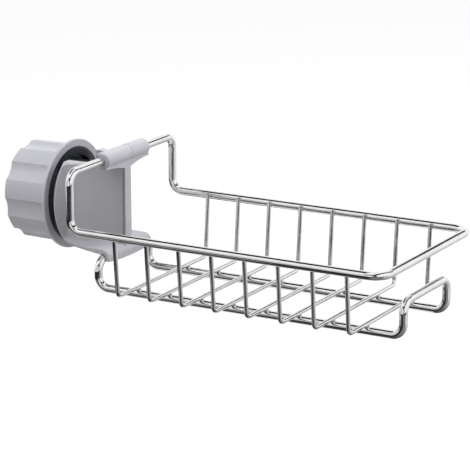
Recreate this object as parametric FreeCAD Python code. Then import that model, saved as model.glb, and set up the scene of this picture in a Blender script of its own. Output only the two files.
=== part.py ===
"""Sponge holder: a welded wire basket that hangs from a plastic screw clamp.

Millimetres. The origin is where the clamp's upright bore crosses the screw axis of the knob.
+X runs from the bore to the far end of the basket, +Y is to the left of it, +Z is up.
"""
import FreeCAD
import Part
import math
import os

Vector = FreeCAD.Vector

# Wire stock and bends
frame_wire_diameter = 4.5
cross_wire_diameter = 2.4
frame_bend_radius = 6.5
rim_corner_radius = 9.0
cross_bend_radius = 3.2
weld_gap = 0.03

# Rim: a closed loop whose clamp end stands up to the clamp's upper clip
rim_width = 105.2
rim_length = 184.8
rim_drop = 5.5

# Cross wires: U shapes hung inside the rim, with walls that lean in towards the floor
cross_wire_count = 8
first_cross_wire = 25.3
last_cross_wire = 21.6
basket_depth = 34.3
wall_lean = 2.8
cross_wire_tip = 1.0

# Base loop: runs under the floor wires and turns up at both ends
base_width = 51.8
base_set_back = 0.8
low_bar_rise = 15.28
end_bar_rise = 18.3

# Clamp bore and its rubber pad
bore_diameter = 25.0
pad_thickness = 1.2
pad_height = 40.0
pad_wrap_angle = 150.0
pad_seat_clearance = 0.05

# Clamp body: a neck that narrows from a round collar to an upright stem, over a skirt at its foot
collar_inset = 1.2
collar_back = 7.0
collar_land = 0.5
shoulder_length = 7.5
shoulder_drop = 15.0
neck_margin = 0.4
facet_crown = 1.4
nose_stand_out = 3.4
stem_width = 6.0
stem_stand_out = 1.3
stem_step = 1.6
body_below_bar = 3.6
body_edge_round = 1.5
skirt_margin = 6.0
skirt_flare = 4.0

# Threaded arms that straddle the bore and carry the knob
arm_thickness = 7.45
arm_end = 31.0
arm_end_chamfer = 1.2
thread_room = 0.7

# Clips that hold the two bars of the basket
bar_wall = 2.9
clip_wall = 2.4
bar_clearance = 0.1
sleeve_above_flange = 0.35
upper_clip_length = 43.0
upper_clip_mouth = 3.8
upper_clip_mouth_angle = 155.0
upper_clip_end_round = 1.2
upper_gusset_depth = 2.4
gusset_thickness = 5.4
gusset_hollow_share = 0.28
lower_clip_length = 44.0
low_seat_depth = 0.9
lip_wall = 1.9
lip_drop = 2.8
lip_end_drop = 1.3

# Knob
knob_length = 29.2
grip_wall = 5.0
grip_taper = 0.4
grip_edge_chamfer = 1.0
lobe_count = 8
lobe_angle = 22.0
first_flute_angle = 146.8
flute_depth = 1.7
flange_thickness = 2.0
flange_edge_round = 0.6
knob_end_wall = 3.0
knob_rim_wall = 4.1
thread_clearance = 0.2
knob_dish_radius = 17.0
knob_dish_depth = 0.9

# Pressure ring in the mouth of the knob
ring_head_thickness = 1.5
ring_stand_out = 0.15
ring_edge_round = 0.5
spigot_wall = 1.8
spigot_length = 3.0
ring_shelf = 2.2
ring_clearance = 0.3
thrust_gap = 0.05
bore_contact_gap = 0.05

# One overrun serves all cuts, and one tolerance finds the edges to round
overrun = 5.0
edge_tolerance = 0.01

# Wire sizes worked out from those above
frame_wire_radius = frame_wire_diameter / 2
cross_wire_radius = cross_wire_diameter / 2
rim_half = rim_width / 2
base_half = base_width / 2
floor_height = -rim_drop - basket_depth
base_height = floor_height - cross_wire_radius - frame_wire_radius - weld_gap
end_bar_height = base_height + end_bar_rise
low_bar_drop = -base_height - low_bar_rise
cross_wire_pitch = (rim_length - first_cross_wire - last_cross_wire) / (cross_wire_count - 1)

# The clamp grows outwards from its bore: saddle, arms, knob, flange, collar
bore_radius = bore_diameter / 2
saddle_radius = bore_radius + pad_thickness + pad_seat_clearance
arm_radius = saddle_radius + arm_thickness
knob_bore_radius = arm_radius + thread_room + thread_clearance
grip_radius_back = knob_bore_radius + grip_wall
grip_radius_front = grip_radius_back + grip_taper
spigot_radius = knob_bore_radius + spigot_wall
mouth_radius = spigot_radius + ring_clearance + ring_shelf
flange_radius = mouth_radius + knob_rim_wall
collar_radius = flange_radius - collar_inset
shoulder_end_radius = collar_radius - shoulder_drop
neck_width = (arm_radius + neck_margin) * 2

# The bars lie in front of the saddle, the upper one level with the flange
bar_seat_radius = frame_wire_radius + bar_clearance
clip_radius = bar_seat_radius + clip_wall
bar_reach = saddle_radius + bar_wall + bar_seat_radius
top_bar_height = flange_radius + sleeve_above_flange - clip_radius
rim_far_end = bar_reach + rim_length
base_far_end = rim_far_end - base_set_back
nose_reach = bar_reach + nose_stand_out
facet_end = nose_reach - stem_stand_out
stem_half = stem_width / 2
body_top = top_bar_height - body_below_bar
body_bottom = low_bar_drop - bar_seat_radius + low_seat_depth
skirt_top = -low_bar_drop + clip_radius
skirt_radius = low_bar_drop + skirt_margin

# Places along the screw axis
ring_front = -bore_radius - bore_contact_gap
ring_back = ring_front - ring_head_thickness
flange_front = ring_front - ring_stand_out
knob_back = flange_front - knob_length

X_AXIS = Vector(1, 0, 0)
Y_AXIS = Vector(0, 1, 0)
Z_AXIS = Vector(0, 0, 1)


def rounded_path(corners, bend_radii, closed):
    """A wire of straight runs joined by tangent arcs; a closed one starts inside its first run."""
    count = len(corners)
    turns = range(count) if closed else range(1, count - 1)
    starts = {}
    ends = {}
    arcs = {}
    for i in turns:
        here = corners[i]
        back = (corners[i - 1] - here).normalize()
        ahead = (corners[(i + 1) % count] - here).normalize()
        half_turn = back.getAngle(ahead) / 2
        reach = bend_radii[i] / math.tan(half_turn)
        to_centre = (back + ahead).normalize()
        middle = here + to_centre * (bend_radii[i] / math.sin(half_turn) - bend_radii[i])
        starts[i] = here + back * reach
        ends[i] = here + ahead * reach
        arcs[i] = Part.Arc(starts[i], middle, ends[i]).toShape()
    edges = []
    runs = range(count) if closed else range(count - 1)
    for i in runs:
        after = (i + 1) % count
        edges.append(Part.makeLine(ends.get(i, corners[i]), starts.get(after, corners[after])))
        if after in arcs:
            edges.append(arcs[after])
    return Part.Wire(edges)


def bent_wire(corners, diameter, bend_radii, closed=False):
    """Round wire swept along its bent path, with one bend radius for each corner."""
    path = rounded_path(corners, bend_radii, closed)
    first = path.OrderedEdges[0]
    start = first.valueAt(first.FirstParameter)
    along = first.tangentAt(first.FirstParameter)
    section = Part.Wire(Part.makeCircle(diameter / 2, start, along))
    return path.makePipeShell([section], True, False)


def rim_wire():
    """The basket's rim, with its clamp end bent up into the top bar."""
    corners = []
    for side in (1, -1):
        leg = [
            Vector(bar_reach, side * rim_half, top_bar_height),
            Vector(bar_reach, side * rim_half, -rim_drop),
            Vector(rim_far_end, side * rim_half, -rim_drop),
        ]
        corners += leg if side > 0 else leg[::-1]
    leg_radii = [frame_bend_radius, frame_bend_radius, rim_corner_radius]
    return bent_wire(corners, frame_wire_diameter, leg_radii + leg_radii[::-1], closed=True)


def base_loop():
    """The loop under the floor, bent up at the clamp and at the far end."""
    corners = []
    for side in (1, -1):
        leg = [
            Vector(bar_reach, side * base_half, -low_bar_drop),
            Vector(bar_reach, side * base_half, base_height),
            Vector(base_far_end, side * base_half, base_height),
            Vector(base_far_end, side * base_half, end_bar_height),
        ]
        corners += leg if side > 0 else leg[::-1]
    return bent_wire(corners, frame_wire_diameter, [frame_bend_radius] * len(corners), closed=True)


def cross_wire(index):
    """One U of the basket: down the wall, across the floor and up the other wall."""
    x = bar_reach + first_cross_wire + index * cross_wire_pitch
    lean = math.atan2(wall_lean, basket_depth)
    seat = (frame_wire_radius + cross_wire_radius + weld_gap) / math.cos(lean)
    half_at_rim = rim_half - seat
    half_at_tip = half_at_rim + cross_wire_tip * math.tan(lean)
    half_at_floor = half_at_rim - wall_lean
    tip_height = -rim_drop + cross_wire_tip
    corners = [
        Vector(x, -half_at_tip, tip_height),
        Vector(x, -half_at_floor, floor_height),
        Vector(x, half_at_floor, floor_height),
        Vector(x, half_at_tip, tip_height),
    ]
    return bent_wire(corners, cross_wire_diameter, [cross_bend_radius] * len(corners))


def bar_along_y(radius, x, z, length):
    """A round bar across the part, centred on the middle plane."""
    return Part.makeCylinder(radius, length, Vector(x, -length / 2, z), Y_AXIS)


def disc_along_x(radius, start, end):
    """A round bar on the screw axis from one X to another."""
    return Part.makeCylinder(radius, end - start, Vector(start, 0, 0), X_AXIS)


def neck_outline():
    """The neck seen from above: two slightly crowned facets that close in on the stem."""
    back_half = neck_width / 2
    front_half = stem_half + stem_step
    run = facet_end + collar_back
    facet_out = Vector(back_half - front_half, run, 0).normalize()
    middle = Vector((facet_end - collar_back) / 2, (back_half + front_half) / 2, 0)
    crest = middle + facet_out * facet_crown
    left = [Vector(-collar_back, back_half, 0), Vector(facet_end, front_half, 0)]
    right = [Vector(p.x, -p.y, 0) for p in left]
    return Part.Wire([
        Part.Arc(left[0], crest, left[1]).toShape(),
        Part.makeLine(left[1], right[1]),
        Part.Arc(right[1], Vector(crest.x, -crest.y, 0), right[0]).toShape(),
        Part.makeLine(right[0], left[0]),
    ])


def slab(low, high, half_width, start, end):
    """A block across the middle plane, from one height and one X to another."""
    corner = Vector(start, -half_width, low)
    return Part.makeBox(end - start, half_width * 2, high - low, corner)


def facet_edges(block, z):
    """The edges at one height that run along the facets."""
    edges = []
    for edge in block.Edges:
        box = edge.BoundBox
        level = box.ZLength < edge_tolerance and abs(box.ZMin - z) < edge_tolerance
        if level and min(box.XLength, box.YLength) > edge_tolerance:
            edges.append(edge)
    return edges


def skirted_neck():
    """The neck on its skirt, with a flared foot, rounded upper edges and round corners at the collar."""
    neck = Part.Face(neck_outline()).extrude(Z_AXIS * (body_top + body_bottom))
    neck.translate(Vector(0, 0, -body_bottom))
    skirt = slab(-body_bottom, skirt_top, skirt_radius, -collar_back, bar_reach)
    block = neck.fuse(skirt).removeSplitter()
    block = block.makeFillet(skirt_flare, facet_edges(block, skirt_top))
    block = block.makeFillet(body_edge_round, facet_edges(block, body_top))
    growth_share = (skirt_radius - collar_radius) / (bar_reach + collar_back)
    length = nose_reach + collar_back + overrun
    far_radius = collar_radius + length * growth_share
    envelope = Part.makeCone(collar_radius, far_radius, length, Vector(-collar_back, 0, 0), X_AXIS)
    width_limit = slab(-far_radius, far_radius, lower_clip_length / 2, -collar_back, nose_reach)
    return block.common(envelope).common(width_limit)


def collar():
    """Round collar with a steep shoulder, flat above and below."""
    land_front = -collar_back + collar_land
    land = disc_along_x(collar_radius, -collar_back, land_front)
    shoulder = Part.makeCone(
        collar_radius,
        shoulder_end_radius,
        shoulder_length,
        Vector(land_front, 0, 0),
        X_AXIS,
    )
    level = slab(-body_bottom, body_top, collar_radius, -collar_back, nose_reach)
    return land.fuse(shoulder).common(level)


def stem():
    """Narrow upright rib down the nose."""
    return slab(-body_bottom, body_top, stem_half, facet_end - stem_stand_out, nose_reach)


def gusset(clip_face, clip_core, clip_length, depth):
    """Web that spreads from the stem to both ends of a clip along two hollow edges."""
    half = clip_length / 2
    towards_clip = Vector(0, 0, clip_core - clip_face).normalize()
    left = [
        Vector(0, stem_half, clip_face) - towards_clip * depth,
        Vector(0, half, clip_face),
        Vector(0, half, clip_core),
    ]
    right = [Vector(0, -p.y, p.z) for p in left]
    hollow = (left[0] + left[1]) / 2 + towards_clip * (depth * gusset_hollow_share)
    outline = Part.Wire([
        Part.Arc(left[0], hollow, left[1]).toShape(),
        Part.makeLine(left[1], left[2]),
        Part.makeLine(left[2], right[2]),
        Part.makeLine(right[2], right[1]),
        Part.Arc(right[1], Vector(0, -hollow.y, hollow.z), right[0]).toShape(),
        Part.makeLine(right[0], left[0]),
    ])
    web = Part.Face(outline).extrude(X_AXIS * gusset_thickness)
    web.translate(Vector(nose_reach - gusset_thickness, 0, 0))
    return web


def upper_clip():
    """Sleeve round the top bar on its gusset."""
    sleeve = bar_along_y(clip_radius, bar_reach, top_bar_height, upper_clip_length)
    sleeve = sleeve.makeFillet(upper_clip_end_round, [e for e in sleeve.Edges if e.isClosed()])
    underside = top_bar_height - clip_radius
    return sleeve.fuse(gusset(underside, top_bar_height, upper_clip_length, upper_gusset_depth))


def upper_clip_cuts():
    """The bar's seat in the sleeve and the snap mouth that leads to it."""
    length = upper_clip_length + overrun
    seat = bar_along_y(bar_seat_radius, bar_reach, top_bar_height, length)
    mouth = Part.makeBox(clip_radius + overrun, length, upper_clip_mouth)
    mouth.translate(Vector(0, -length / 2, -upper_clip_mouth / 2))
    mouth.rotate(Vector(0, 0, 0), Y_AXIS, -upper_clip_mouth_angle)
    mouth.translate(Vector(bar_reach, 0, top_bar_height))
    return seat.fuse(mouth)


def lower_clip():
    """Hook that rolls from the skirt over the low bar and ends in an arched lip."""
    z = -low_bar_drop
    front = bar_reach + bar_seat_radius + lip_wall
    inner = bar_reach + bar_seat_radius
    foot = z - lip_drop - overrun
    roll_share = math.sqrt(0.5)
    outline = Part.Wire([
        Part.Arc(
            Vector(bar_reach, 0, skirt_top),
            Vector(bar_reach + (front - bar_reach) * roll_share, 0, z + clip_radius * roll_share),
            Vector(front, 0, z),
        ).toShape(),
        Part.makeLine(Vector(front, 0, z), Vector(front, 0, foot)),
        Part.makeLine(Vector(front, 0, foot), Vector(inner, 0, foot)),
        Part.makeLine(Vector(inner, 0, foot), Vector(inner, 0, z)),
        Part.makeLine(Vector(inner, 0, z), Vector(bar_reach, 0, z)),
        Part.makeLine(Vector(bar_reach, 0, z), Vector(bar_reach, 0, skirt_top)),
    ])
    hook = Part.Face(outline).extrude(Y_AXIS * lower_clip_length)
    hook.translate(Vector(0, -lower_clip_length / 2, 0))
    return hook.cut(lip_arch())


def lip_arch():
    """What is taken off below the lip so that it is deepest in the middle."""
    half = (lower_clip_length + overrun) / 2
    z = -low_bar_drop
    ends = [Vector(bar_reach, side * half, z - lip_end_drop) for side in (-1, 1)]
    feet = [Vector(p.x, p.y, z - lip_drop - overrun * 2) for p in ends]
    outline = Part.Wire([
        Part.Arc(ends[0], Vector(bar_reach, 0, z - lip_drop), ends[1]).toShape(),
        Part.makeLine(ends[1], feet[1]),
        Part.makeLine(feet[1], feet[0]),
        Part.makeLine(feet[0], ends[0]),
    ])
    return Part.Face(outline).extrude(X_AXIS * (clip_radius + overrun))


def threaded_arms():
    """The round stock of the two arms, before the bore's slot parts it."""
    straight = disc_along_x(arm_radius, -arm_end + arm_end_chamfer, -collar_back + collar_land)
    lead = Part.makeCone(
        arm_radius - arm_end_chamfer,
        arm_radius,
        arm_end_chamfer,
        Vector(-arm_end, 0, 0),
        X_AXIS,
    )
    return straight.fuse(lead)


def bore_slot():
    """The saddle that seats the pad and the slot behind it between the arms."""
    height = body_top + body_bottom + top_bar_height + low_bar_drop
    low = -height / 2
    saddle = Part.makeCylinder(saddle_radius, height, Vector(0, 0, low))
    depth = arm_end + overrun
    slot = Part.makeBox(depth, saddle_radius * 2, height, Vector(-depth, -saddle_radius, low))
    return saddle.fuse(slot)


def low_bar_path():
    """Room for the low bar to enter its clip from below."""
    z = -low_bar_drop
    length = base_width + overrun
    seat = bar_along_y(bar_seat_radius, bar_reach, z, length)
    way_in = Part.makeBox(bar_seat_radius * 2, length, low_bar_drop)
    way_in.translate(Vector(bar_reach - bar_seat_radius, -length / 2, z - low_bar_drop))
    return seat.fuse(way_in)


def clamp_body():
    """The moulded clamp: neck, collar, arms and both clips in one piece."""
    body = skirted_neck().multiFuse([collar(), stem(), threaded_arms(), upper_clip(), lower_clip()])
    body = body.cut(bore_slot())
    body = body.cut(upper_clip_cuts())
    body = body.cut(low_bar_path())
    return body.removeSplitter()


def saddle_pad():
    """Rubber lining of the saddle that the clamped stock bears on."""
    outer = bore_radius + pad_thickness
    low = -pad_height / 2
    ring = Part.makeCylinder(outer, pad_height, Vector(0, 0, low), Z_AXIS, pad_wrap_angle)
    ring = ring.cut(Part.makeCylinder(bore_radius, pad_height, Vector(0, 0, low)))
    ring.rotate(Vector(0, 0, 0), Z_AXIS, -pad_wrap_angle / 2)
    return ring


def lobed_outline(x, radius):
    """Round lobes parted by shallow flutes, as a closed wire across the screw axis."""
    def point(r, degrees):
        turn = math.radians(degrees)
        return Vector(x, r * math.cos(turn), r * math.sin(turn))

    pitch = 360.0 / lobe_count
    edges = []
    for i in range(lobe_count):
        flute = first_flute_angle + i * pitch
        start = flute + (pitch - lobe_angle) / 2
        end = start + lobe_angle
        after = flute + pitch
        edges.append(Part.Arc(
            point(radius, start),
            point(radius, (start + end) / 2),
            point(radius, end),
        ).toShape())
        edges.append(Part.Arc(
            point(radius, end),
            point(radius - flute_depth, after),
            point(radius, after + (pitch - lobe_angle) / 2),
        ).toShape())
    return Part.Wire(edges)


def knob():
    """Lobed cap with a flange at its mouth, bored to run over the arms."""
    flange_back = flange_front - flange_thickness
    grip = Part.makeLoft([
        lobed_outline(knob_back, grip_radius_back - grip_edge_chamfer),
        lobed_outline(knob_back + grip_edge_chamfer, grip_radius_back),
        lobed_outline(flange_back + flange_edge_round, grip_radius_front),
    ], True, True)
    flange = disc_along_x(flange_radius, flange_back, flange_front)
    flange = flange.makeFillet(flange_edge_round, [e for e in flange.Edges if e.isClosed()])
    mouth = flange_front + overrun
    head_floor = ring_back - thrust_gap
    spigot_floor = head_floor - spigot_length
    cavity = disc_along_x(knob_bore_radius, knob_back + knob_end_wall, mouth)
    spigot_seat = disc_along_x(spigot_radius + ring_clearance, spigot_floor, mouth)
    head_seat = disc_along_x(mouth_radius, head_floor, mouth)
    dish = Part.makeCone(
        knob_dish_radius,
        knob_dish_radius - knob_dish_depth,
        knob_dish_depth,
        Vector(knob_back, 0, 0),
        X_AXIS,
    )
    return grip.fuse(flange).cut([cavity, spigot_seat, head_seat, dish]).removeSplitter()


def pressure_ring():
    """Dark ring in the knob's mouth: a flat head to bear on the stock and a spigot to centre it."""
    head = disc_along_x(mouth_radius - ring_clearance, ring_back, ring_front)
    rim = [e for e in head.Edges if e.isClosed() and e.BoundBox.XMin > ring_back]
    head = head.makeFillet(ring_edge_round, rim)
    spigot = disc_along_x(spigot_radius, ring_back - spigot_length, ring_front - ring_edge_round)
    hole = disc_along_x(knob_bore_radius, ring_back - spigot_length - overrun, ring_front + overrun)
    return head.fuse(spigot).cut(hole).removeSplitter()


def main():
    """Builds every piece and writes one file for each."""
    pieces = {
        "rim_wire": rim_wire(),
        "base_loop": base_loop(),
        "clamp_body": clamp_body(),
        "saddle_pad": saddle_pad(),
        "knob": knob(),
        "pressure_ring": pressure_ring(),
    }
    for index in range(cross_wire_count):
        pieces[f"cross_wire_{index + 1}"] = cross_wire(index)
    os.makedirs("parts", exist_ok=True)
    for name, shape in pieces.items():
        solid = shape.Solids[0]
        print(name, "solids", len(shape.Solids), "valid", shape.isValid(), "volume", round(solid.Volume, 1))
        shape.exportStep(f"parts/{name}.step")


main()
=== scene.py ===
"""Looks of the sponge holder: materials, threads and welds on the solids, in a plain studio."""
import math

import bmesh
import bpy
from mathutils import Matrix, Vector


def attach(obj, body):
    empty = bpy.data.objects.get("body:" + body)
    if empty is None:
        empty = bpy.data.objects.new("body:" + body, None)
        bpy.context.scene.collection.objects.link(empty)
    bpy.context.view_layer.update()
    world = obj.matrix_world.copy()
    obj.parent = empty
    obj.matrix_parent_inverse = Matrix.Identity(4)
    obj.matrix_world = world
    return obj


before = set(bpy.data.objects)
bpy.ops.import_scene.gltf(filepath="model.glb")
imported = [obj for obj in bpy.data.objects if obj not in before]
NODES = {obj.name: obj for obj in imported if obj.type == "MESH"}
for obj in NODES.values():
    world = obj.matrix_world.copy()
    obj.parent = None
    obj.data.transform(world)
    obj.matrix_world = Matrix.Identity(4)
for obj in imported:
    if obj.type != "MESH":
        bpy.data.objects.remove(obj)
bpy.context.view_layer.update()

MM = 0.001


# Materials
def new_material(name):
    """A material with an empty tree that ends in one shader."""
    material = bpy.data.materials.new(name)
    material.use_nodes = True
    tree = material.node_tree
    tree.nodes.clear()
    out = tree.nodes.new("ShaderNodeOutputMaterial")
    shader = tree.nodes.new("ShaderNodeBsdfPrincipled")
    tree.links.new(shader.outputs["BSDF"], out.inputs["Surface"])
    return material, tree, shader


def noise(tree, scale, detail, roughness, stretch=(1, 1, 1)):
    """Object-space noise, in cells per metre."""
    coord = tree.nodes.new("ShaderNodeTexCoord")
    mapping = tree.nodes.new("ShaderNodeMapping")
    mapping.inputs["Scale"].default_value = stretch
    texture = tree.nodes.new("ShaderNodeTexNoise")
    texture.inputs["Scale"].default_value = scale
    texture.inputs["Detail"].default_value = detail
    texture.inputs["Roughness"].default_value = roughness
    tree.links.new(coord.outputs["Object"], mapping.inputs["Vector"])
    tree.links.new(mapping.outputs["Vector"], texture.inputs["Vector"])
    return texture.outputs["Fac"]


def ramp(tree, value, stops):
    """Colours along a value."""
    node = tree.nodes.new("ShaderNodeValToRGB")
    node.color_ramp.elements[0].position = stops[0][0]
    node.color_ramp.elements[0].color = (*stops[0][1], 1)
    node.color_ramp.elements[1].position = stops[-1][0]
    node.color_ramp.elements[1].color = (*stops[-1][1], 1)
    for place, colour in stops[1:-1]:
        node.color_ramp.elements.new(place).color = (*colour, 1)
    tree.links.new(value, node.inputs["Fac"])
    return node.outputs["Color"]


def span(tree, value, low, high, start=0.3, end=0.7):
    """A value spread from low to high."""
    node = tree.nodes.new("ShaderNodeMapRange")
    node.inputs["From Min"].default_value = start
    node.inputs["From Max"].default_value = end
    node.inputs["To Min"].default_value = low
    node.inputs["To Max"].default_value = high
    tree.links.new(value, node.inputs["Value"])
    return node.outputs["Result"]


def bump(tree, height, strength, distance):
    """A normal from a height."""
    node = tree.nodes.new("ShaderNodeBump")
    node.inputs["Strength"].default_value = strength
    node.inputs["Distance"].default_value = distance
    tree.links.new(height, node.inputs["Height"])
    return node.outputs["Normal"]


def steel_material():
    """Polished stainless wire with faint handling haze."""
    material, tree, shader = new_material("polished_wire")
    haze = noise(tree, 140, 3, 0.55)
    marks = noise(tree, 900, 2, 0.5)
    shader.inputs["Metallic"].default_value = 1.0
    tint = ramp(tree, haze, [(0.3, (0.82, 0.815, 0.81)), (0.7, (0.91, 0.91, 0.915))])
    tree.links.new(tint, shader.inputs["Base Color"])
    tree.links.new(span(tree, haze, 0.10, 0.15), shader.inputs["Roughness"])
    tree.links.new(bump(tree, marks, 0.008, 0.0001), shader.inputs["Normal"])
    return material


def weld_material():
    """Bare spot weld, a little duller and warmer than the wire."""
    material, tree, shader = new_material("spot_weld")
    mottle = noise(tree, 700, 3, 0.6)
    shader.inputs["Metallic"].default_value = 1.0
    tint = ramp(tree, mottle, [(0.3, (0.36, 0.345, 0.33)), (0.7, (0.60, 0.585, 0.57))])
    tree.links.new(tint, shader.inputs["Base Color"])
    tree.links.new(span(tree, mottle, 0.2, 0.38), shader.inputs["Roughness"])
    tree.links.new(bump(tree, noise(tree, 2200, 2, 0.6), 0.25, 0.0002), shader.inputs["Normal"])
    return material


def plastic_material(name, dark, light, rough_low, rough_high, grain_strength):
    """Moulded plastic: slight flow tint, fine moulded grain and polish that varies."""
    material, tree, shader = new_material(name)
    flow = noise(tree, 45, 3, 0.5)
    grain = noise(tree, 3800, 2, 0.55)
    polish = noise(tree, 260, 3, 0.6)
    tree.links.new(ramp(tree, flow, [(0.3, dark), (0.7, light)]), shader.inputs["Base Color"])
    tree.links.new(span(tree, polish, rough_low, rough_high), shader.inputs["Roughness"])
    tree.links.new(bump(tree, grain, grain_strength, 0.0001), shader.inputs["Normal"])
    return material


steel = steel_material()
weld = weld_material()
FINE_GRAIN = 0.10
COARSE_GRAIN = 0.35
grey_plastic = plastic_material(
    "grey_plastic", (0.335, 0.335, 0.365), (0.365, 0.365, 0.395), 0.30, 0.40, FINE_GRAIN
)
seam_plastic = plastic_material(
    "seam_plastic", (0.22, 0.22, 0.24), (0.25, 0.25, 0.27), 0.45, 0.55, FINE_GRAIN
)
# Near-black plastic for the pressure ring: this colour is painted shade, darker than the ring
# itself, standing in for the shade deep in the knob's mouth.
mouth_shade_plastic = plastic_material(
    "mouth_shade_plastic", (0.009, 0.011, 0.017), (0.014, 0.017, 0.026), 0.25, 0.36, FINE_GRAIN
)
rubber = plastic_material(
    "pad_rubber", (0.030, 0.030, 0.033), (0.048, 0.048, 0.052), 0.62, 0.78, COARSE_GRAIN
)


def dress(node, material):
    """Gives one solid its material."""
    mesh = NODES[node].data
    mesh.materials.clear()
    mesh.materials.append(material)


for name in NODES:
    if name.startswith("cross_wire") or name in ("rim_wire", "base_loop"):
        dress(name, steel)
dress("clamp_body", grey_plastic)
dress("knob", grey_plastic)
# The pressure ring gets the near-black plastic, painted shade for the knob's mouth.
dress("pressure_ring", mouth_shade_plastic)
dress("saddle_pad", rubber)


# Details that ride on the solids
def add_piece(name, bm, material, body):
    """Puts a finished mesh into the scene and lets it ride on a body."""
    bmesh.ops.recalc_face_normals(bm, faces=bm.faces)
    mesh = bpy.data.meshes.new(name)
    bm.to_mesh(mesh)
    bm.free()
    mesh.materials.append(material)
    piece = bpy.data.objects.new(name, mesh)
    bpy.context.scene.collection.objects.link(piece)
    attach(piece, body)
    return piece


def skin(bm, sections):
    """Joins closed sections of equal count into a capped skin."""
    rings = [[bm.verts.new(p) for p in section] for section in sections]
    count = len(rings[0])
    for first, second in zip(rings, rings[1:]):
        for i in range(count):
            j = (i + 1) % count
            bm.faces.new((first[i], first[j], second[j], second[i]))
    bm.faces.new(rings[0])
    bm.faces.new(rings[-1][::-1])


# Lengths in millimetres, angles in degrees
SCREW_PITCH = 4.0
THREAD_STEPS = 14
THREAD_START = -36.0
ARM_HALF_ARC = 47.5
ARM_ROOT, ARM_CREST = 21.0, 21.9
ARM_ROOT_HALF, ARM_CREST_HALF = 1.1, 0.4
KNOB_ROOT, KNOB_CREST = 22.3, 21.5
KNOB_ROOT_HALF, KNOB_CREST_HALF = 0.9, 0.35
KNOB_QUARTERS = 15
WIRE_RADIUS = 2.25
WELD_REACH = 2.3
WELD_LEVEL = -5.6
SEAM_CENTRE = Vector((19.0, 3.2, 26.1))
SEAM_START, SEAM_ARC, SEAM_STEPS = -62, 182, 24
SEAM_INNER, SEAM_OUTER, SEAM_HALF = 4.6, 4.80, 0.18


def thread_ridge(bm, start_x, start, end, root, crest, root_half, crest_half):
    """One stretch of a right-hand thread between two angles, in millimetres and degrees."""
    sections = []
    for step in range(THREAD_STEPS + 1):
        degrees = start + (end - start) * step / THREAD_STEPS
        x = start_x + SCREW_PITCH * degrees / 360
        turn = math.radians(degrees)
        profile = [
            (x - root_half, root),
            (x - crest_half, crest),
            (x + crest_half, crest),
            (x + root_half, root),
        ]
        sections.append([
            Vector((px, r * math.cos(turn), r * math.sin(turn))) * MM for px, r in profile
        ])
    skin(bm, sections)


def arm_threads():
    """Thread on the two arms, parted where the slot parts the arms."""
    bm = bmesh.new()
    for side in (0, 180):
        for row in range(2, 7):
            start_x = THREAD_START + row * SCREW_PITCH
            thread_ridge(
                bm, start_x, side - ARM_HALF_ARC, side + ARM_HALF_ARC,
                ARM_ROOT, ARM_CREST, ARM_ROOT_HALF, ARM_CREST_HALF,
            )
    add_piece("arm_thread", bm, grey_plastic, "holder")


def knob_thread():
    """Thread inside the knob, half a pitch away from that of the arms."""
    bm = bmesh.new()
    for quarter in range(KNOB_QUARTERS):
        start = quarter * 90
        thread_ridge(
            bm, THREAD_START + SCREW_PITCH / 2, start, start + 90,
            KNOB_ROOT, KNOB_CREST, KNOB_ROOT_HALF, KNOB_CREST_HALF,
        )
    add_piece("knob_thread", bm, grey_plastic, "knob")


def bead(bm, centre, size):
    """One small weld, as a flattened ball."""
    place = Matrix.Translation(Vector(centre) * MM) @ Matrix.Diagonal((*[s * MM for s in size], 1))
    bmesh.ops.create_uvsphere(bm, u_segments=10, v_segments=6, radius=1.0, matrix=place)


def welds():
    """Spot welds where each cross wire meets the rim and the base loop."""
    bm = bmesh.new()
    rim = NODES["rim_wire"]
    base = NODES["base_loop"]
    rim_y = max(v.co.y for v in rim.data.vertices) / MM - WIRE_RADIUS
    base_y = max(v.co.y for v in base.data.vertices) / MM - WIRE_RADIUS
    base_z = min(v.co.z for v in base.data.vertices) / MM + WIRE_RADIUS
    for name in NODES:
        if not name.startswith("cross_wire"):
            continue
        xs = [v.co.x for v in NODES[name].data.vertices]
        x = (min(xs) + max(xs)) / 2 / MM
        for side in (-1, 1):
            bead(bm, (x, side * (rim_y - WELD_REACH), WELD_LEVEL), (1.5, 0.75, 1.6))
            bead(bm, (x, side * base_y, base_z + WELD_REACH), (1.5, 1.6, 0.75))
    piece = add_piece("spot_welds", bm, weld, "holder")
    for polygon in piece.data.polygons:
        polygon.use_smooth = True


def sleeve_seam():
    """Parting line round the sleeve of the upper clip."""
    bm = bmesh.new()
    sections = []
    profile = [
        (SEAM_INNER, -SEAM_HALF),
        (SEAM_OUTER, -SEAM_HALF),
        (SEAM_OUTER, SEAM_HALF),
        (SEAM_INNER, SEAM_HALF),
    ]
    for step in range(SEAM_STEPS + 1):
        turn = math.radians(SEAM_START + SEAM_ARC * step / SEAM_STEPS)
        out = Vector((math.cos(turn), 0, math.sin(turn)))
        sections.append([
            (SEAM_CENTRE + out * radius + Vector((0, offset, 0))) * MM for radius, offset in profile
        ])
    skin(bm, sections)
    add_piece("sleeve_seam", bm, seam_plastic, "holder")


arm_threads()
knob_thread()
welds()
sleeve_seam()


# Studio
def mix_by_ray(tree, rays, other, direct):
    """Shows one shader to some kinds of ray and another to the rest."""
    seen = tree.nodes.new("ShaderNodeLightPath")
    total = None
    for ray in rays:
        if total is None:
            total = seen.outputs[ray]
            continue
        add = tree.nodes.new("ShaderNodeMath")
        add.operation = "MAXIMUM"
        tree.links.new(total, add.inputs[0])
        tree.links.new(seen.outputs[ray], add.inputs[1])
        total = add.outputs["Value"]
    mix = tree.nodes.new("ShaderNodeMixShader")
    tree.links.new(total, mix.inputs["Fac"])
    tree.links.new(other, mix.inputs[1])
    tree.links.new(direct, mix.inputs[2])
    return mix.outputs["Shader"]


WHITE_RAYS = ("Is Camera Ray", "Is Glossy Ray", "Is Transmission Ray")


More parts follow.
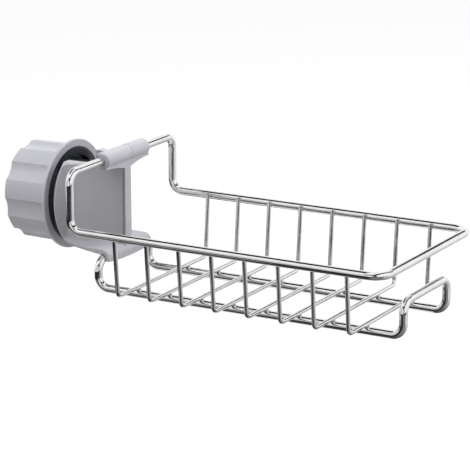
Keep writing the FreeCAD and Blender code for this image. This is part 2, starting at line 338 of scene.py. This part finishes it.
def floor_material():
    """Plain white floor that keeps a faint shadow."""
    material = bpy.data.materials.new("floor_white")
    material.use_nodes = True
    tree = material.node_tree
    tree.nodes.clear()
    out = tree.nodes.new("ShaderNodeOutputMaterial")
    matt = tree.nodes.new("ShaderNodeBsdfDiffuse")
    matt.inputs["Color"].default_value = (0.45, 0.45, 0.45, 1)
    pale = tree.nodes.new("ShaderNodeBsdfDiffuse")
    pale.inputs["Color"].default_value = (0.9, 0.9, 0.9, 1)
    glow = tree.nodes.new("ShaderNodeEmission")
    glow.inputs["Color"].default_value = (1, 1, 1, 1)
    glow.inputs["Strength"].default_value = 1.0
    bright = tree.nodes.new("ShaderNodeMixShader")
    bright.inputs["Fac"].default_value = 0.9
    tree.links.new(pale.outputs["BSDF"], bright.inputs[1])
    tree.links.new(glow.outputs["Emission"], bright.inputs[2])
    shader = mix_by_ray(tree, WHITE_RAYS, matt.outputs["BSDF"], bright.outputs["Shader"])
    tree.links.new(shader, out.inputs["Surface"])
    return material


def stage_piece(name, corners, faces, material):
    """A thin stage piece."""
    mesh = bpy.data.meshes.new(name)
    mesh.from_pydata(corners, [], faces)
    mesh.materials.append(material)
    piece = bpy.data.objects.new(name, mesh)
    bpy.context.scene.collection.objects.link(piece)
    return piece


FLOOR = -0.16
FLOOR_REACH = 4
floor_signs = [(-1, -1), (1, -1), (1, 1), (-1, 1)]
floor_corners = [(x * FLOOR_REACH, y * FLOOR_REACH, FLOOR) for x, y in floor_signs]
stage_piece("floor", floor_corners, [(0, 1, 2, 3)], floor_material())


def card_material(name, level):
    """Evenly toned card for the polished wire to mirror."""
    material = bpy.data.materials.new(name)
    material.use_nodes = True
    tree = material.node_tree
    tree.nodes.clear()
    out = tree.nodes.new("ShaderNodeOutputMaterial")
    glow = tree.nodes.new("ShaderNodeEmission")
    glow.inputs["Color"].default_value = (level, level, level, 1)
    glow.inputs["Strength"].default_value = 1.0
    tree.links.new(glow.outputs["Emission"], out.inputs["Surface"])
    return material


# Studio lengths in metres, angles in degrees
TONE_REACH = 2.0
TONE_LIFT, PALE_LIFT, FAN_LIFT = 0.002, 0.0025, 0.003
MIDDLE = Vector((0.1, 0, 0))
FAN_STEP = 4
OVERHEAD_DISTANCE = 1.3
ARCH_RADIUS, ARCH_STEPS = 1.5, 24


def tone_material():
    """Card that is dark in its middle and pale further out."""
    material = bpy.data.materials.new("tone_card")
    material.use_nodes = True
    tree = material.node_tree
    tree.nodes.clear()
    out = tree.nodes.new("ShaderNodeOutputMaterial")
    coord = tree.nodes.new("ShaderNodeTexCoord")
    reach = tree.nodes.new("ShaderNodeVectorMath")
    reach.operation = "LENGTH"
    tree.links.new(coord.outputs["Object"], reach.inputs[0])
    share = span(tree, reach.outputs["Value"], 0.0, 1.0, 0.0, TONE_REACH)
    stops = [(0.10, 0.05), (0.18, 0.16), (0.28, 0.42), (0.45, 0.68), (0.70, 0.82), (1.60, 0.90)]
    tone = ramp(tree, share, [(r / TONE_REACH, (level, level, level)) for r, level in stops])
    glow = tree.nodes.new("ShaderNodeEmission")
    glow.inputs["Strength"].default_value = 1.0
    tree.links.new(tone, glow.inputs["Color"])
    tree.links.new(glow.outputs["Emission"], out.inputs["Surface"])
    return material


black_card = card_material("black_card", 0.02)
dark_card = card_material("dark_card", 0.2)
grey_card = card_material("grey_card", 0.6)
pale_card = card_material("pale_card", 0.85)


def card(name, corners, material, faces=None):
    """A studio card that only mirror-like surfaces see."""
    piece = stage_piece(name, corners, faces or [tuple(range(len(corners)))], material)
    piece.visible_camera = False
    piece.visible_diffuse = False
    piece.visible_transmission = False
    piece.visible_volume_scatter = False
    piece.visible_shadow = False
    return piece


def bearing(degrees, distance, z):
    """A place round the basket, by compass angle from the front."""
    turn = math.radians(degrees)
    return (MIDDLE.x + distance * math.sin(turn), -distance * math.cos(turn), z)


rounds = [math.tau * i / 48 for i in range(48)]
disc = [(TONE_REACH * math.cos(t), TONE_REACH * math.sin(t), 0) for t in rounds]
tone = card("floor_tone", disc, tone_material())
tone.location = (0.06, -0.04, FLOOR + TONE_LIFT)
pale = [(-0.15, -0.01), (0.15, -0.01), (0.15, 0.20), (-0.15, 0.20)]
card("far_pale", [(x, y, FLOOR + PALE_LIFT) for x, y in pale], pale_card)
for name, start, end, near, far, material in (
    ("front_black", -20, 28, 0.15, 1.6, black_card),
    ("front_dark", 28, 76, 0.15, 0.61, dark_card),
    ("front_far_black", 28, 72, 0.61, 1.6, black_card),
    ("left_black", -108, -20, 0.36, 0.75, black_card),
    ("left_far_black", -56, -20, 0.75, 1.08, black_card),
    ("right_far_black", 72, 100, 0.68, 1.6, black_card),
    ("back_black", 208, 244, 0.15, 1.6, black_card),
):
    fan = [bearing(a, far, FLOOR + FAN_LIFT) for a in range(start, end + 1, FAN_STEP)]
    fan += [bearing(a, near, FLOOR + FAN_LIFT) for a in range(end, start - 1, -FAN_STEP)]
    card(name, fan, material)


def upright_card(name, start, end, distance, low, high, material):
    """A card that stands between two compass angles and two heights above the horizon."""
    corners = [bearing(a, distance, distance * math.tan(math.radians(low))) for a in (start, end)]
    corners += [bearing(a, distance, distance * math.tan(math.radians(high))) for a in (end, start)]
    card(name, corners, material)


upright_card("front_grey", -66, -2, 1.7, -4, 17, grey_card)
behind = [(0.10, 0.15), (0.30, 0.15), (0.30, 0.25), (0.10, 0.25)]
card("back_black_near", [(x, 0.366, z) for x, z in behind], black_card)
overhead = [(-0.72, -0.27, 0.64), (-0.22, -0.38, 0.90), (-0.22, 0.50, 0.84), (-0.72, 0.36, 0.60)]
card("over_black", [MIDDLE + Vector(corner) * OVERHEAD_DISTANCE for corner in overhead], black_card)


def arch_card(name, axis, start, end, inner, outer, material):
    """A card bent round a level axis, between two turns about it and two angles from it."""
    axis = Vector(axis)
    side = axis.cross(Vector((0, 0, 1)))
    corners = []
    for step in range(ARCH_STEPS + 1):
        turn = math.radians(start + (end - start) * step / ARCH_STEPS)
        away = side * math.cos(turn) + Vector((0, 0, math.sin(turn)))
        for angle in (math.radians(inner), math.radians(outer)):
            direction = axis * math.cos(angle) + away * math.sin(angle)
            corners.append(MIDDLE + direction * ARCH_RADIUS)
    faces = [(2 * i, 2 * i + 1, 2 * i + 3, 2 * i + 2) for i in range(ARCH_STEPS)]
    card(name, corners, material, faces)


arch_card("right_arch", (1, 0, 0), 30, 150, 52, 72, black_card)
arch_card("front_arch", (0, -1, 0), 58, 190, 24, 42, black_card)

world = bpy.data.worlds.new("studio")
bpy.context.scene.world = world
world.use_nodes = True
tree = world.node_tree
tree.nodes.clear()
out = tree.nodes.new("ShaderNodeOutputWorld")
sky = tree.nodes.new("ShaderNodeBackground")
sky.inputs["Color"].default_value = (1, 1, 1, 1)
sky.inputs["Strength"].default_value = 0.40
white = tree.nodes.new("ShaderNodeBackground")
white.inputs["Color"].default_value = (1, 1, 1, 1)
white.inputs["Strength"].default_value = 1.0
shader = mix_by_ray(tree, WHITE_RAYS, sky.outputs["Background"], white.outputs["Background"])
tree.links.new(shader, out.inputs["Surface"])


def area_light(name, place, target, width, height, power):
    """A soft box that points at a place on the part."""
    lamp = bpy.data.lights.new(name, "AREA")
    lamp.shape = "RECTANGLE"
    lamp.size = width
    lamp.size_y = height
    lamp.energy = power
    obj = bpy.data.objects.new(name, lamp)
    bpy.context.scene.collection.objects.link(obj)
    obj.location = place
    obj.rotation_mode = "QUATERNION"
    obj.rotation_quaternion = (Vector(target) - Vector(place)).to_track_quat("-Z", "Y")
    return obj


key_box = area_light("key_box", (-0.42, -0.98, 0.98), (0.05, 0, 0), 0.9, 0.8, 15)
side_box = area_light("side_box", (0.85, 1.05, 0.45), (0.05, 0, 0), 0.6, 0.8, 21)
top_box = area_light("top_box", (0.1, 0.2, 1.2), (0.08, 0, 0), 1.0, 0.6, 14)
for box in (key_box, side_box, top_box):
    box.visible_glossy = False

# Camera, in metres, degrees and pixels of the picture
CAMERA_DISTANCE = 1.27854
FOCAL_PIXELS = 2380.9
PICTURE_WIDTH = 470
SENSOR_WIDTH = 36.0
eye_target = Vector((0.08980, 0.0, -0.01073))
azimuth = math.radians(29.748)
elevation = math.radians(15.048)
roll = math.radians(0.157)
level = math.cos(elevation)
back = Vector((math.sin(azimuth) * level, -math.cos(azimuth) * level, math.sin(elevation)))
flat_right = (-back).cross(Vector((0, 0, 1))).normalized()
flat_up = flat_right.cross(-back)
right = flat_right * math.cos(roll) - flat_up * math.sin(roll)
up = flat_right * math.sin(roll) + flat_up * math.cos(roll)
lens = bpy.data.cameras.new("view")
lens.sensor_width = SENSOR_WIDTH
lens.lens = SENSOR_WIDTH * FOCAL_PIXELS / PICTURE_WIDTH
lens.clip_start = 0.05
lens.clip_end = 50
camera = bpy.data.objects.new("view", lens)
axes = Matrix((right, up, back)).transposed().to_4x4()
camera.matrix_world = Matrix.Translation(eye_target + back * CAMERA_DISTANCE) @ axes
bpy.context.scene.collection.objects.link(camera)
bpy.context.scene.camera = camera
bpy.context.scene.view_settings.view_transform = "Standard"
